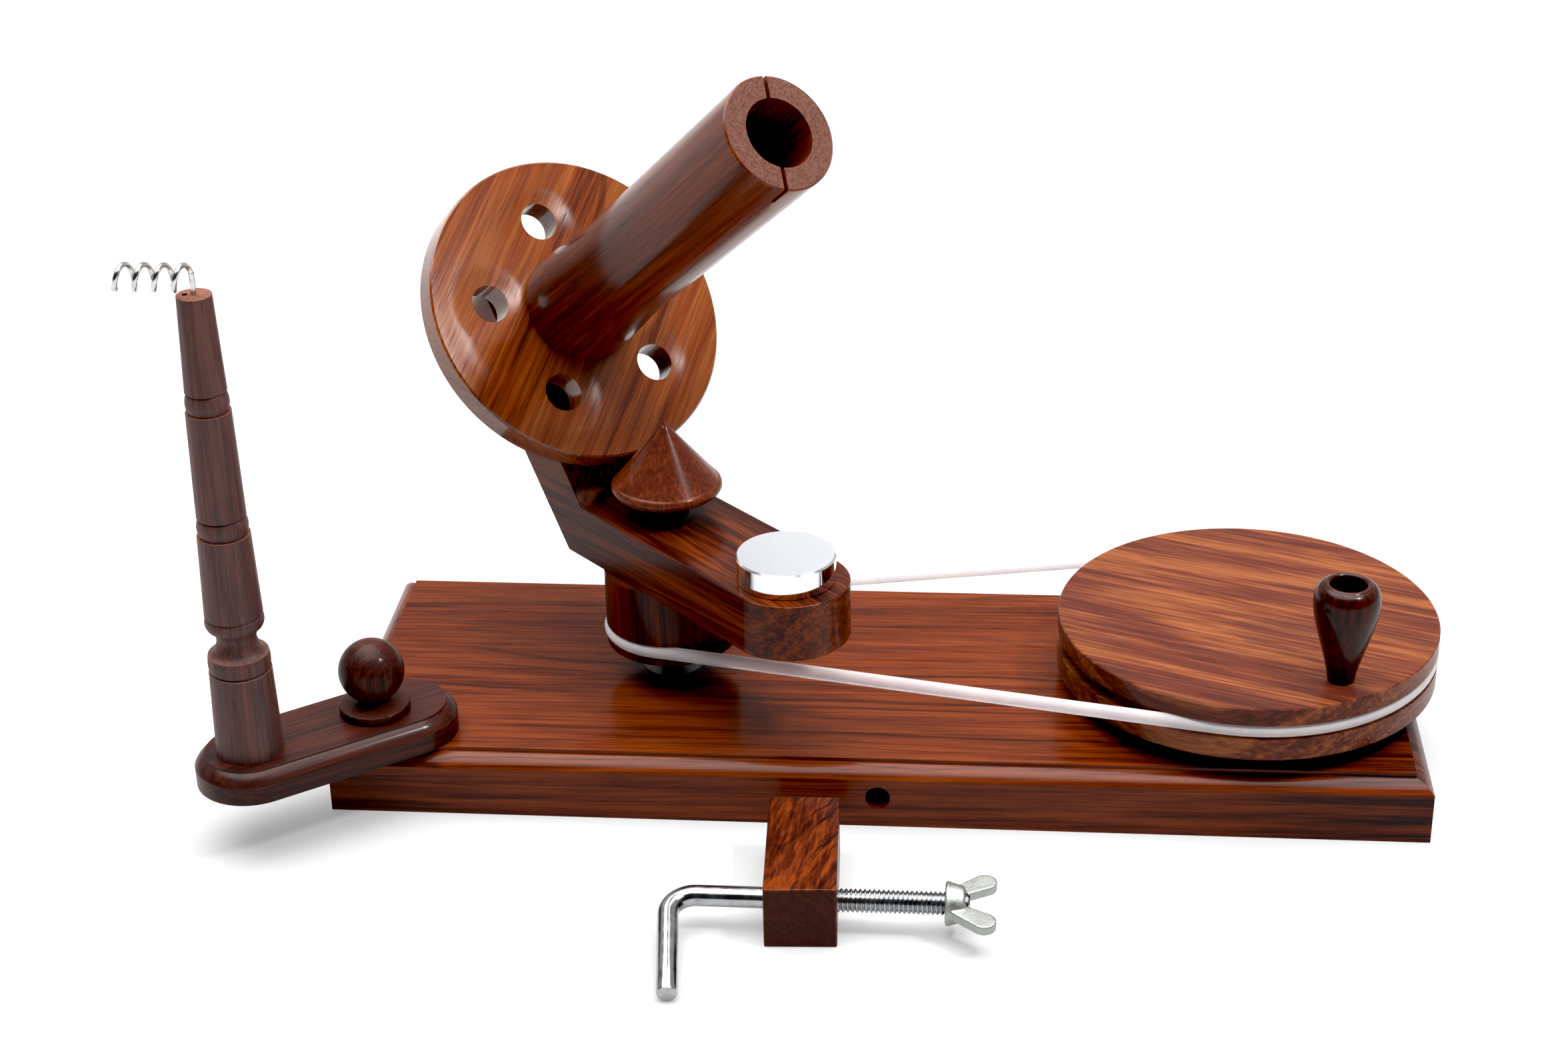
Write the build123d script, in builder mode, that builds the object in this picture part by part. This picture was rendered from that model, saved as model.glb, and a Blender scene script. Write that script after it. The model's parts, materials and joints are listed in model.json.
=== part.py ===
from build123d import *
import os
from collections import namedtuple
from math import atan2, cos, degrees, pi, radians, sin, sqrt

os.makedirs("parts", exist_ok=True)

# Hand-cranked ball winder. Millimetres, +Z up. The origin is the centre of the base's underside,
# +X points to the drive wheel and -Y to the user.

# ---- base board -------------------------------------------------------------------------------
base_length = 400
base_width = 140
base_thick = 25
base_mould = dict(inset=6, step=1.5, drop=5.5, crown=0.09)
clamp_hole_x = 2
clamp_hole_level = 12
clamp_hole_radius = 4.5
clamp_hole_depth = 45

# ---- upright shafts and what holds them in the base ---------------------------------------------
flyer_x = -80
wheel_x = 137
shaft_radius = 6
stud_radius = 5
stud_low = 1.5
washer_thick = 2
nut_thick = 8
nut_pocket_radius = 12
nut_pocket_depth = 11
shoulder = base_thick + washer_thick
ring_thick = 1.2
ring_radius = 8.2

# ---- belt drive -----------------------------------------------------------------------------------
belt_level = 44
belt_radius = 2.5
belt_clear = 0.3
groove_radius = belt_radius + belt_clear
wheel_belt_radius = 68.3
pulley_belt_radius = 23.4
wheel_radius = 70.5
wheel_low = 32.5
wheel_high = 53.8
pulley_radius = 25
pulley_low = 38.5
edge_ease = 0.5

# ---- ball bearings: radii of bore, ring lips and outside, width, ball circle and balls -----------------
Bearing = namedtuple("Bearing", "bore lip_in lip_out outer width pitch ball count")
bearing_12 = Bearing(bore=6, lip_in=8.4, lip_out=11.6, outer=14, width=8, pitch=10, ball=2.38, count=8)
bearing_8 = Bearing(bore=4, lip_in=6.1, lip_out=8.9, outer=11, width=7, pitch=7.5, ball=1.98, count=7)
ball_play = 0.06
wheel_bearing_low = wheel_low + 0.5
wheel_bearing_seats = (wheel_bearing_low, wheel_bearing_low + bearing_12.width + 0.1)
flyer_bearing_low = pulley_low + 0.3

# ---- crank knob -----------------------------------------------------------------------------------
knob_x = 166.6
knob_y = -47.8
knob_low = wheel_high + 0.3
knob_height = 38.6
knob_recess_radius = 6.4
knob_recess_depth = 15
knob_bore = 3
screw_play = 0.05

# ---- flyer arm ------------------------------------------------------------------------------------
flyer_turn = -45.6
spindle_tilt = 51
arm_half_width = 22
arm_low = 69.3
arm_thick = 21.6
arm_high = arm_low + arm_thick
arm_shaft_hole = 8
counterweight_u = 69.4
counterweight_radius = 18
counterweight_height = 9.6
arm_nose = 23.5
arm_beyond_spindle = 27
arm_corner = 10

# ---- friction cone --------------------------------------------------------------------------------
cone_apex = 128.4
cone_rim_level = 102.8
cone_rim_radius = 21
cone_low = 100.3
cone_bore_top = 112
contact_level = 111.5
contact_gap = 0.3

# ---- tilted spindle: lengths are measured along its axis from the flange's front face -------------------
flange_radius = 59.5
flange_thick = 10.4
flange_hole_circle = 36
flange_hole_radius = 7.25
flange_holes = 5
arm_gap = 10.8
tube_length = 157
tube_foot_radius = 21.9
tube_waist_radius = 19.9
tube_tip_radius = 20.7
tube_bore = 12.5
tube_bore_floor = 33
kerf_width = 1.5
kerf_depth = 10
kerf_turn = -16.5
kerf_offset = -1.5
upper_bearing = 14
bolt_radius = 4
bolt_head = 5.3
bolt_flats = 6.5
small_washer = 1.6
lock_nut = 6.5

# ---- yarn guide -----------------------------------------------------------------------------------
pivot_x = -183
pivot_y = -59.1
guide_turn = 36.6
post_reach = 48.7
plate_beyond_pivot = 10.6
plate_half_width = 20.2
plate_low = base_thick + 0.3
plate_thick = 11.9
plate_high = plate_low + plate_thick
plate_mould = dict(inset=3.8, step=0.8, drop=4.8, crown=0.08)
tenon_radius = 6
tenon_low = 29
post_height = 174.6
post_screw_radius = 2
post_screw_top = 60
eye_wire = 0.95
eye_radius = 4.15
eye_pitch = 6.6
eye_turns = 3.61
eye_level = 219.3
eye_seat = 9
eye_bend = 1
eye_ball = 1.2
ball_radius = 12
ball_level = 53.6
guide_stud_radius = 2.95
guide_stud_low = 8
guide_stud_top = 49
insert_radius = 4.5
insert_bore = 3

# ---- table clamp, lying in front of the base -----------------------------------------------------------
rod_radius = 3.7
rod_y = -134.8
rod_level = 12
rod_end = 38.2
leg_x = -66.5
leg_length = 46.2
leg_lean = 6
leg_droop = 10.5
rod_bend = 9
thread_start = -16
thread_radius = 4.1
thread_root = 3.35
thread_pitch = 1.6
block_x = -20.8
block_turn = 2.7
block_size = (25, 58, 23.5)
block_front = 11.5
block_hole = 4.9
nut_face = 28.4
wing_bore = 4.2
wing_thick = 3.2
wing_reach = 11.5
wing_tip = 4.3


# ---- frames -------------------------------------------------------------------------------------
def upright(x, y):
    """Section plane through a vertical axis: local x is the radius, local y the height."""
    return Plane(origin=(x, y, 0), x_dir=(1, 0, 0), z_dir=(0, -1, 0))


up = Vector(0, 0, 1)
outward = Vector(cos(radians(flyer_turn)), sin(radians(flyer_turn)), 0)
across = up.cross(outward)
spindle_axis = outward * sin(radians(spindle_tilt)) + up * cos(radians(spindle_tilt))
down_slope = outward * cos(radians(spindle_tilt)) - up * sin(radians(spindle_tilt))

# The flange's rim stands a running gap off the cone, square to the cone's side.
cone_rise = cone_apex - cone_rim_level
cone_side = sqrt(cone_rise**2 + cone_rim_radius**2)
contact_radius = (cone_apex - contact_level) * cone_rim_radius / cone_rise
rim_u = -contact_radius - contact_gap * cone_rise / cone_side
rim_level = contact_level + contact_gap * cone_rim_radius / cone_side
flyer_origin = Vector(flyer_x, 0, 0)
flange_centre = flyer_origin + outward * rim_u + up * rim_level - down_slope * flange_radius

flyer_side = Plane(origin=flyer_origin, x_dir=outward, z_dir=outward.cross(up))
spindle = Plane(origin=flange_centre, x_dir=down_slope, z_dir=spindle_axis)
spindle_section = Plane(origin=flange_centre, x_dir=down_slope, z_dir=-across)
flyer_section = upright(flyer_x, 0)
wheel_section = upright(wheel_x, 0)
knob_section = upright(knob_x, knob_y)

guide_dir = Vector(cos(radians(guide_turn)), sin(radians(guide_turn)), 0)
pivot = Vector(pivot_x, pivot_y, 0)
post_foot = pivot - guide_dir * post_reach
plate_end = pivot + guide_dir * plate_beyond_pivot
pivot_section = upright(pivot.X, pivot.Y)
post_section = upright(post_foot.X, post_foot.Y)

arm_inner_face = -flange_thick - arm_gap
arm_outer_face = arm_inner_face - arm_thick
lower_bearing = -flange_thick + 0.2
lower_bearing_top = lower_bearing + bearing_8.width
upper_bearing_top = upper_bearing + bearing_8.width
nut_seat = upper_bearing_top + small_washer
head_seat = arm_outer_face - small_washer


# ---- helpers, each used inside a part ------------------------------------------------------------
def axis_of(section):
    """The axis that a section plane is turned about."""
    return Axis(section.origin, section.y_dir)


def turned(section, points, mode=Mode.ADD):
    """Solid turned from a straight-sided outline of (radius, height) points."""
    with BuildSketch(section) as outline:
        with BuildLine():
            Polyline(*points, close=True)
        make_face()
    revolve(outline.sketch, axis=axis_of(section), mode=mode)


def tube_between(section, inner, outer, low, high):
    """Plain ring or sleeve."""
    turned(section, [(inner, low), (outer, low), (outer, high), (inner, high)])


def race(section, size, low, outer_ring):
    """One bearing ring with its ball groove, standing on a given height."""
    inner, outer = (size.lip_out, size.outer) if outer_ring else (size.bore, size.lip_in)
    middle = low + size.width / 2
    with BuildSketch(section) as ring:
        with Locations(((inner + outer) / 2, middle)):
            Rectangle(outer - inner, size.width)
        with Locations((size.pitch, middle)):
            Circle(size.ball + ball_play, mode=Mode.SUBTRACT)
    revolve(ring.sketch, axis=axis_of(section))


def balls(plane, size, low):
    """The balls of one bearing."""
    with Locations(plane.offset(low + size.width / 2).location):
        with PolarLocations(size.pitch, size.count):
            Sphere(size.ball)


def belt_groove(radius):
    """Cuts a round-bottomed groove for the belt from a section sketch."""
    with Locations((radius, belt_level)):
        Circle(groove_radius, mode=Mode.SUBTRACT)
    with Locations((radius + groove_radius, belt_level)):
        Rectangle(2 * groove_radius, 2 * groove_radius, mode=Mode.SUBTRACT)


def moulded_section(half, low, high, inset, step, drop, crown, inner=None):
    """Section of a board whose top edge has a small step above a convex ovolo."""
    start = -half if inner is None else inner
    arris = high - drop
    bulge = crown * sqrt(inset**2 + (drop - step) ** 2)
    with BuildLine() as outline:
        Polyline((start, arris), (start, low), (half, low), (half, arris))
        SagittaArc((half, arris), (half - inset, high - step), -bulge)
        if inner is None:
            Polyline((half - inset, high - step), (half - inset, high), (inset - half, high),
                     (inset - half, high - step))
            SagittaArc((inset - half, high - step), (-half, arris), -bulge)
        else:
            Polyline((half - inset, high - step), (half - inset, high), (inner, high), (inner, arris))
    make_face(outline.edges())


# ---- base ----------------------------------------------------------------------------------------
with BuildPart() as base_board:
    with BuildSketch(Plane.YZ):
        moulded_section(base_width / 2, 0, base_thick, **base_mould)
    extrude(amount=base_length / 2, both=True)
    with BuildSketch(Plane.XZ):
        moulded_section(base_length / 2, 0, base_thick, **base_mould)
    extrude(amount=base_width / 2, both=True, mode=Mode.INTERSECT)
    with Locations(*[Location((x, 0, 0), (180, 0, 0)) for x in (flyer_x, wheel_x)]):
        CounterBoreHole(stud_radius + 0.2, nut_pocket_radius, nut_pocket_depth, depth=base_thick)
    with Locations((pivot.X, pivot.Y, base_thick)):
        Hole(guide_stud_radius, depth=base_thick - guide_stud_low)
    front = Plane(origin=(clamp_hole_x, -base_width / 2, clamp_hole_level), z_dir=(0, -1, 0))
    with Locations(front.location):
        Hole(clamp_hole_radius, depth=clamp_hole_depth)


def shaft(section, top):
    """Upright shaft whose threaded stud passes through the base."""
    turned(section, [(0, stud_low), (stud_radius - 1, stud_low), (stud_radius, stud_low + 1),
                     (stud_radius, shoulder), (shaft_radius, shoulder), (shaft_radius, top - 0.6),
                     (shaft_radius - 0.6, top), (0, top)])


with BuildPart() as flyer_shaft:
    shaft(flyer_section, cone_bore_top)

with BuildPart() as wheel_axle:
    shaft(wheel_section, wheel_bearing_low + 2 * bearing_12.width)

with BuildPart() as shaft_washers:
    for section in (flyer_section, wheel_section):
        tube_between(section, stud_radius, nut_pocket_radius - 0.5, base_thick, shoulder)
        tube_between(section, stud_radius, nut_pocket_radius - 1, nut_pocket_depth - washer_thick,
                     nut_pocket_depth)

with BuildPart() as shaft_nuts:
    with BuildSketch(Plane.XY.offset(nut_pocket_depth - washer_thick - nut_thick)):
        with Locations((flyer_x, 0), (wheel_x, 0)):
            RegularPolygon(8.5, 6, major_radius=False)
            Circle(stud_radius, mode=Mode.SUBTRACT)
    extrude(amount=nut_thick)

with BuildPart() as shaft_rings:
    for section, seat in ((flyer_section, flyer_bearing_low), (wheel_section, wheel_bearing_low)):
        tube_between(section, shaft_radius, ring_radius, seat - ring_thick, seat)

with BuildPart() as friction_cone:
    with BuildSketch(flyer_section):
        with BuildLine():
            rim_side = Vector(cone_rim_radius, cone_rim_level) - Vector(0, cone_apex)
            shoulder_point = Vector(0, cone_apex) + rim_side * 0.92
            Polyline((0, cone_bore_top), (0, cone_apex), shoulder_point)
            under_edge = (cone_rim_radius - 2.2, cone_low)
            ThreePointArc(shoulder_point, (cone_rim_radius - 0.25, cone_rim_level - 0.1), under_edge)
            Polyline(under_edge, (shaft_radius, cone_low), (shaft_radius, cone_bore_top),
                     (0, cone_bore_top))
        make_face()
    revolve(axis=axis_of(flyer_section))

# ---- belt, in its rest shape: two straight runs and an arc round each pulley ----------------------
centre_distance = wheel_x - flyer_x
lean = (wheel_belt_radius - pulley_belt_radius) / centre_distance
wrap = degrees(atan2(lean, sqrt(1 - lean**2)))

with BuildPart() as drive_belt:
    for x, radius, start, sweep_angle in (
        (wheel_x, wheel_belt_radius, -90 - wrap, 180 + 2 * wrap),
        (flyer_x, pulley_belt_radius, 90 + wrap, 180 - 2 * wrap),
    ):
        spoke = Vector(cos(radians(start)), sin(radians(start)), 0)
        with BuildSketch(Plane(origin=(x, 0, belt_level), x_dir=spoke, z_dir=spoke.cross(up))):
            with Locations((radius, 0)):
                Circle(belt_radius)
        revolve(axis=Axis((x, 0, 0), (0, 0, 1)), revolution_arc=sweep_angle)
    for side in (-1, 1):
        spoke = Vector(-lean, side * sqrt(1 - lean**2), 0)
        run_start = Vector(flyer_x, 0, belt_level) + spoke * pulley_belt_radius
        run_end = Vector(wheel_x, 0, belt_level) + spoke * wheel_belt_radius
        with BuildSketch(Plane(origin=run_start, z_dir=run_end - run_start)):
            Circle(belt_radius)
        extrude(amount=(run_end - run_start).length)

# ---- drive wheel and crank ---------------------------------------------------------------------------
bearing_pocket_top = wheel_bearing_seats[1] + bearing_12.width + 0.3
with BuildPart() as drive_wheel:
    with BuildSketch(wheel_section):
        with BuildLine():
            Polyline((0, bearing_pocket_top), (0, wheel_high), (wheel_radius - edge_ease, wheel_high),
                     (wheel_radius, wheel_high - edge_ease), (wheel_radius, wheel_low + edge_ease),
                     (wheel_radius - edge_ease, wheel_low), (bearing_12.outer, wheel_low),
                     (bearing_12.outer, bearing_pocket_top), close=True)
        make_face()
        belt_groove(wheel_belt_radius)
    revolve(axis=axis_of(wheel_section))
    with Locations((knob_x, knob_y, wheel_high)):
        Hole(knob_bore - 1, depth=16)

with BuildPart() as wheel_bearing_outers:
    for seat in wheel_bearing_seats:
        race(wheel_section, bearing_12, seat, True)

with BuildPart() as wheel_bearing_inners:
    for seat in wheel_bearing_seats:
        race(wheel_section, bearing_12, seat, False)

with BuildPart() as wheel_bearing_balls:
    for seat in wheel_bearing_seats:
        balls(Plane((wheel_x, 0, 0)), bearing_12, seat)

knob_recess_floor = knob_low + knob_height - knob_recess_depth
with BuildPart() as crank_knob:
    with BuildSketch(knob_section):
        with BuildLine():
            Line((knob_bore, knob_low), (4.9, knob_low))
            Spline((4.9, knob_low), (6.5, knob_low + 8), (8.8, knob_low + 16), (11, knob_low + 24.5),
                   (11.9, knob_low + 31.4), (11.2, knob_low + 35.4), (8.6, knob_low + 38.2),
                   tangents=[(0.1, 1), (-1, 0.35)])
            ThreePointArc((8.6, knob_low + 38.2), (7.2, knob_low + 38.6), (6.4, knob_low + 37.9))
            Polyline((6.4, knob_low + 37.9), (knob_recess_radius, knob_recess_floor),
                     (knob_bore, knob_recess_floor), (knob_bore, knob_low))
        make_face()
    revolve(axis=axis_of(knob_section))

with BuildPart() as crank_screw:
    head_low = knob_recess_floor + 0.3
    turned(knob_section, [(0, wheel_high - 15.5), (knob_bore - 1, wheel_high - 13), (knob_bore - 1, wheel_high),
                          (knob_bore - screw_play, wheel_high), (knob_bore - screw_play, head_low),
                          (5.4, head_low), (5.4, head_low + 1.4), (3.6, head_low + 3), (0, head_low + 3)])
    with Locations((knob_x, knob_y, head_low + 3)):
        Box(9, 1.2, 2.4, mode=Mode.SUBTRACT)

# ---- flyer: pulley, arm, counterweight and spindle axle ---------------------------------------------------
flyer_upper_bearing = arm_low - 0.3 - bearing_12.width
with BuildPart() as flyer_pulley:
    with BuildSketch(flyer_section):
        with BuildLine():
            Polyline((bearing_12.outer, pulley_low), (pulley_radius - edge_ease, pulley_low),
                     (pulley_radius, pulley_low + edge_ease), (pulley_radius, arm_low),
                     (bearing_12.outer, arm_low), (bearing_12.outer, flyer_upper_bearing),
                     (arm_shaft_hole + 1.5, flyer_upper_bearing),
                     (arm_shaft_hole + 1.5, flyer_bearing_low + bearing_12.width),
                     (bearing_12.outer, flyer_bearing_low + bearing_12.width), close=True)
        make_face()
        belt_groove(pulley_belt_radius)
    revolve(axis=axis_of(flyer_section))

with BuildPart() as flyer_bearing_outers:
    for seat in (flyer_bearing_low, flyer_upper_bearing):
        race(flyer_section, bearing_12, seat, True)

with BuildPart() as flyer_bearing_inners:
    for seat in (flyer_bearing_low, flyer_upper_bearing):
        race(flyer_section, bearing_12, seat, False)

with BuildPart() as flyer_bearing_balls:
    for seat in (flyer_bearing_low, flyer_upper_bearing):
        balls(Plane(flyer_origin), bearing_12, seat)


def slope_point(along, depth):
    """Point of the flyer's side view, from the spindle's own lengths: up the slope, and along the axis."""
    place = flange_centre - down_slope * along + spindle_axis * depth
    return ((place - flyer_origin).dot(outward), place.Z)


def slope_at(level, depth):
    """Where a face parallel to the flange meets a horizontal level in the side view."""
    _, height = slope_point(0, depth)
    return slope_point((level - height) / sin(radians(spindle_tilt)), depth)


with BuildPart() as flyer_arm:
    with BuildSketch(flyer_side):
        with BuildLine():
            Polyline((counterweight_u + arm_nose, arm_low), (counterweight_u + arm_nose, arm_high),
                     slope_at(arm_high, arm_inner_face), slope_point(arm_beyond_spindle, arm_inner_face),
                     slope_point(arm_beyond_spindle, arm_outer_face), slope_at(arm_low, arm_outer_face),
                     close=True)
        make_face()
    extrude(amount=arm_half_width, both=True)
    with BuildSketch(Plane(origin=flyer_origin, x_dir=outward, z_dir=up)):
        with BuildLine():
            ThreePointArc((counterweight_u, -arm_half_width), (counterweight_u + arm_nose, 0),
                          (counterweight_u, arm_half_width))
            Polyline((counterweight_u, arm_half_width), (-base_width, arm_half_width),
                     (-base_width, -arm_half_width), (counterweight_u, -arm_half_width))
        make_face()
    extrude(amount=base_length, mode=Mode.INTERSECT)
    with BuildSketch(spindle):
        with Locations((base_length / 2 - arm_beyond_spindle, 0)):
            RectangleRounded(base_length, 2 * arm_half_width, arm_corner)
    extrude(amount=base_width, both=True, mode=Mode.INTERSECT)
    fillet(flyer_arm.edges(), 0.6)
    with Locations((flyer_x, 0, arm_high)):
        Hole(arm_shaft_hole, depth=arm_thick)
    below = Plane(origin=flyer_origin + outward * counterweight_u + up * arm_low, z_dir=(0, 0, -1))
    with Locations(below.location):
        CounterSinkHole(2.6, 5, depth=arm_thick)
    with Locations(spindle.offset(arm_inner_face).location):
        Hole(bolt_radius + 0.1, depth=arm_thick)

counterweight_seat = flyer_origin + outward * counterweight_u
counterweight_section = upright(counterweight_seat.X, counterweight_seat.Y)
with BuildPart() as counterweight:
    top = arm_high + counterweight_height
    turned(counterweight_section, [(2.1, arm_high), (counterweight_radius - 0.3, arm_high),
                                   (counterweight_radius, arm_high + 0.3), (counterweight_radius, top - 0.6),
                                   (counterweight_radius - 0.6, top), (0, top), (0, top - 3), (2.1, top - 3)])

with BuildPart() as counterweight_screw:
    turned(counterweight_section, [(0, arm_low + 0.2), (4.7, arm_low + 0.2), (2.1, arm_low + 2.8),
                                   (2.1, arm_high + counterweight_height - 3.4),
                                   (0, arm_high + counterweight_height - 3.4)])

with BuildPart() as spindle_bolt:
    with BuildSketch(spindle.offset(head_seat)):
        RegularPolygon(bolt_flats, 6, major_radius=False)
    extrude(amount=-bolt_head)
    with BuildSketch(spindle.offset(head_seat)):
        Circle(bolt_radius)
    extrude(amount=nut_seat + lock_nut + 1.5 - head_seat)
    chamfer(spindle_bolt.edges().filter_by(GeomType.CIRCLE).sort_by(axis_of(spindle_section))[-1], 0.6)

with BuildPart() as spindle_washers:
    tube_between(spindle_section, bolt_radius, 8.2, head_seat, arm_outer_face)
    tube_between(spindle_section, bolt_radius, 6, upper_bearing_top, nut_seat)

with BuildPart() as spindle_nut:
    with BuildSketch(spindle.offset(nut_seat)):
        RegularPolygon(bolt_flats, 6, major_radius=False)
        Circle(bolt_radius, mode=Mode.SUBTRACT)
    extrude(amount=lock_nut)

with BuildPart() as spindle_sleeves:
    tube_between(spindle_section, bolt_radius, bearing_8.lip_in, arm_inner_face, lower_bearing)
    tube_between(spindle_section, bolt_radius, 6, lower_bearing_top, upper_bearing)

with BuildPart() as spindle_bearing_inners:
    for seat in (lower_bearing, upper_bearing):
        race(spindle_section, bearing_8, seat, False)

# ---- tilted spindle -------------------------------------------------------------------------------
with BuildPart() as spindle_bearing_outers:
    for seat in (lower_bearing, upper_bearing):
        race(spindle_section, bearing_8, seat, True)

with BuildPart() as spindle_bearing_balls:
    for seat in (lower_bearing, upper_bearing):
        balls(spindle, bearing_8, seat)

with BuildPart() as spindle_flange:
    turned(spindle_section, [(7, 0), (flange_radius - 0.7, 0), (flange_radius, -0.7),
                             (flange_radius, 0.7 - flange_thick), (flange_radius - 0.7, -flange_thick),
                             (bearing_8.outer, -flange_thick), (bearing_8.outer, lower_bearing_top),
                             (7, lower_bearing_top)])
    with Locations(spindle.location):
        with PolarLocations(flange_hole_circle, flange_holes, start_angle=180):
            Hole(flange_hole_radius, depth=flange_thick)

with BuildPart() as spindle_tube:
    with BuildSketch(spindle_section):
        with BuildLine():
            Line((7, 0), (tube_foot_radius - 2, 0))
            ThreePointArc((tube_foot_radius - 2, 0), (tube_foot_radius - 0.5, 0.8), (tube_foot_radius, 2.5))
            Spline((tube_foot_radius, 2.5), (21.6, 14), (20.6, 27), (tube_waist_radius, 44),
                   tangents=[(0, 1), (0, 1)])
            Polyline((tube_waist_radius, 44), (tube_tip_radius, tube_length - 0.6),
                     (tube_tip_radius - 0.6, tube_length), (tube_bore, tube_length),
                     (tube_bore, tube_bore_floor), (tube_bore - 0.5, tube_bore_floor),
                     (tube_bore - 0.5, upper_bearing_top), (bearing_8.outer, upper_bearing_top),
                     (bearing_8.outer, upper_bearing), (7, upper_bearing), (7, 0))
        make_face()
    revolve(axis=axis_of(spindle_section))
    with Locations(spindle.offset(tube_length).location):
        with Locations(Location((0, 0, 0), (0, 0, kerf_turn))):
            with Locations((0, kerf_offset, 0)):
                Box(3 * tube_tip_radius, kerf_width, 2 * kerf_depth, mode=Mode.SUBTRACT)

# ---- yarn guide ------------------------------------------------------------------------------------
with BuildPart() as guide_plate:
    plate_middle = (post_foot + plate_end) * 0.5
    with BuildSketch(Plane(origin=plate_middle, x_dir=up.cross(guide_dir), z_dir=guide_dir)):
        moulded_section(plate_half_width, plate_low, plate_high, **plate_mould)
    extrude(amount=(plate_end - post_foot).length / 2, both=True)
    for end in (post_foot, plate_end):
        end_section = upright(end.X, end.Y)
        with BuildSketch(end_section):
            moulded_section(plate_half_width, plate_low, plate_high, inner=0, **plate_mould)
        revolve(axis=axis_of(end_section))
    with Locations((post_foot.X, post_foot.Y, plate_high)):
        Hole(tenon_radius, depth=plate_high - tenon_low)
    with Locations((pivot.X, pivot.Y, plate_high)):
        Hole(guide_stud_radius + screw_play, depth=plate_thick)
    with Locations(Location((post_foot.X, post_foot.Y, plate_low), (180, 0, 0))):
        CounterSinkHole(post_screw_radius + 0.2, 4.6, depth=plate_thick)

with BuildPart() as guide_post:
    foot = plate_high
    with BuildSketch(post_section):
        with BuildLine():
            Polyline((post_screw_radius, post_screw_top), (post_screw_radius, tenon_low),
                     (tenon_radius, tenon_low), (tenon_radius, foot), (12.1, foot), (11.1, foot + 32.8),
                     (10.3, foot + 33.3), (10.9, foot + 34))
            SagittaArc((10.9, foot + 34), (10.7, foot + 39.6), -0.25)
            Spline((10.7, foot + 39.6), (8, foot + 42.2), (7, foot + 45.4), (7.4, foot + 47.6),
                   (9.6, foot + 50), tangents=[(-1, 0.25), (1, 0.55)])
            SagittaArc((9.6, foot + 50), (10.2, foot + 54), -0.5)
            Polyline((10.2, foot + 54), (9.8, foot + 54.6), (10.25, foot + 55.3), (9.25, foot + 86.2),
                     (8.3, foot + 86.2), (8.5, foot + 87))
            SagittaArc((8.5, foot + 87), (8.3, foot + 92.6), -0.55)
            Polyline((8.3, foot + 92.6), (7.9, foot + 93), (8.6, foot + 93.5), (7.8, foot + 132.6),
                     (6.9, foot + 132.6), (7.1, foot + 133.3))
            SagittaArc((7.1, foot + 133.3), (6.9, foot + 139.3), -0.55)
            Polyline((6.9, foot + 139.3), (6.6, foot + 139.7), (7.2, foot + 140.2),
                     (6, foot + post_height), (0, foot + post_height), (0, post_screw_top),
                     (post_screw_radius, post_screw_top))
        make_face()
    revolve(axis=axis_of(post_section))
    with Locations((post_foot.X, post_foot.Y, foot + post_height)):
        Hole(eye_wire, depth=eye_seat)
        with Locations((-3.1, 0, 0)):
            Hole(1, depth=eye_seat)

with BuildPart() as post_screw:
    turned(post_section, [(0, plate_low + 0.2), (4.3, plate_low + 0.2), (post_screw_radius, plate_low + 2.6),
                          (post_screw_radius, post_screw_top - 3), (0, post_screw_top - 0.5)])

eye_frame = Plane(
    origin=(post_foot.X, post_foot.Y - eye_radius, eye_level), x_dir=(0, 1, 0), z_dir=(-1, 0, 0)
)
eye_path = eye_frame * Helix(eye_pitch, eye_pitch * eye_turns, eye_radius, lefthand=True)

eye_leg_low = plate_high + post_height - eye_seat

with BuildPart() as wire_eye:
    with BuildSketch(Plane.XY.offset(eye_leg_low)):
        with Locations((post_foot.X, post_foot.Y)):
            Circle(eye_wire)
    extrude(amount=eye_level - eye_leg_low)
    with Locations(eye_path @ 0):
        Sphere(eye_bend)
    with BuildSketch(Plane(origin=eye_path @ 0, z_dir=eye_path % 0)):
        Circle(eye_wire)
    sweep(path=eye_path, is_frenet=True)
    with Locations(eye_path @ 1):
        Sphere(eye_ball)

with BuildPart() as guide_stud:
    turned(pivot_section, [(0, guide_stud_low), (guide_stud_radius, guide_stud_low + 2),
                           (guide_stud_radius, guide_stud_top - 0.8),
                           (guide_stud_radius - 0.8, guide_stud_top), (0, guide_stud_top)])

knob_foot = plate_high + 0.3
with BuildPart() as guide_knob:
    with BuildSketch(pivot_section):
        with BuildLine():
            neck = (5.6, ball_level - sqrt(ball_radius**2 - 5.6**2))
            Polyline((insert_radius, knob_foot), (12.6, knob_foot), (13, knob_foot + 0.5),
                     (13, knob_foot + 2.4))
            Spline((13, knob_foot + 2.4), (12, knob_foot + 3.2), (8, knob_foot + 3.9), neck,
                   tangents=[(0, 1), (-0.6, 1)])
            ThreePointArc(neck, (ball_radius, ball_level), (0, ball_level + ball_radius))
            Polyline((0, ball_level + ball_radius), (0, guide_stud_top + 1.5),
                     (insert_radius, guide_stud_top + 1.5), (insert_radius, knob_foot))
        make_face()
    revolve(axis=axis_of(pivot_section))

with BuildPart() as knob_insert:
    tube_between(pivot_section, insert_bore, insert_radius, knob_foot + 0.5, guide_stud_top)

# ---- table clamp -----------------------------------------------------------------------------------
rod_section = Plane(origin=(0, rod_y, rod_level), x_dir=(0, 0, 1), z_dir=(0, 1, 0))
leg_dir = Vector(
    sin(radians(leg_lean)) * cos(radians(leg_droop)),
    -cos(radians(leg_lean)) * cos(radians(leg_droop)),
    -sin(radians(leg_droop)),
)
leg_top = Vector(leg_x, rod_y, rod_level)

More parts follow.
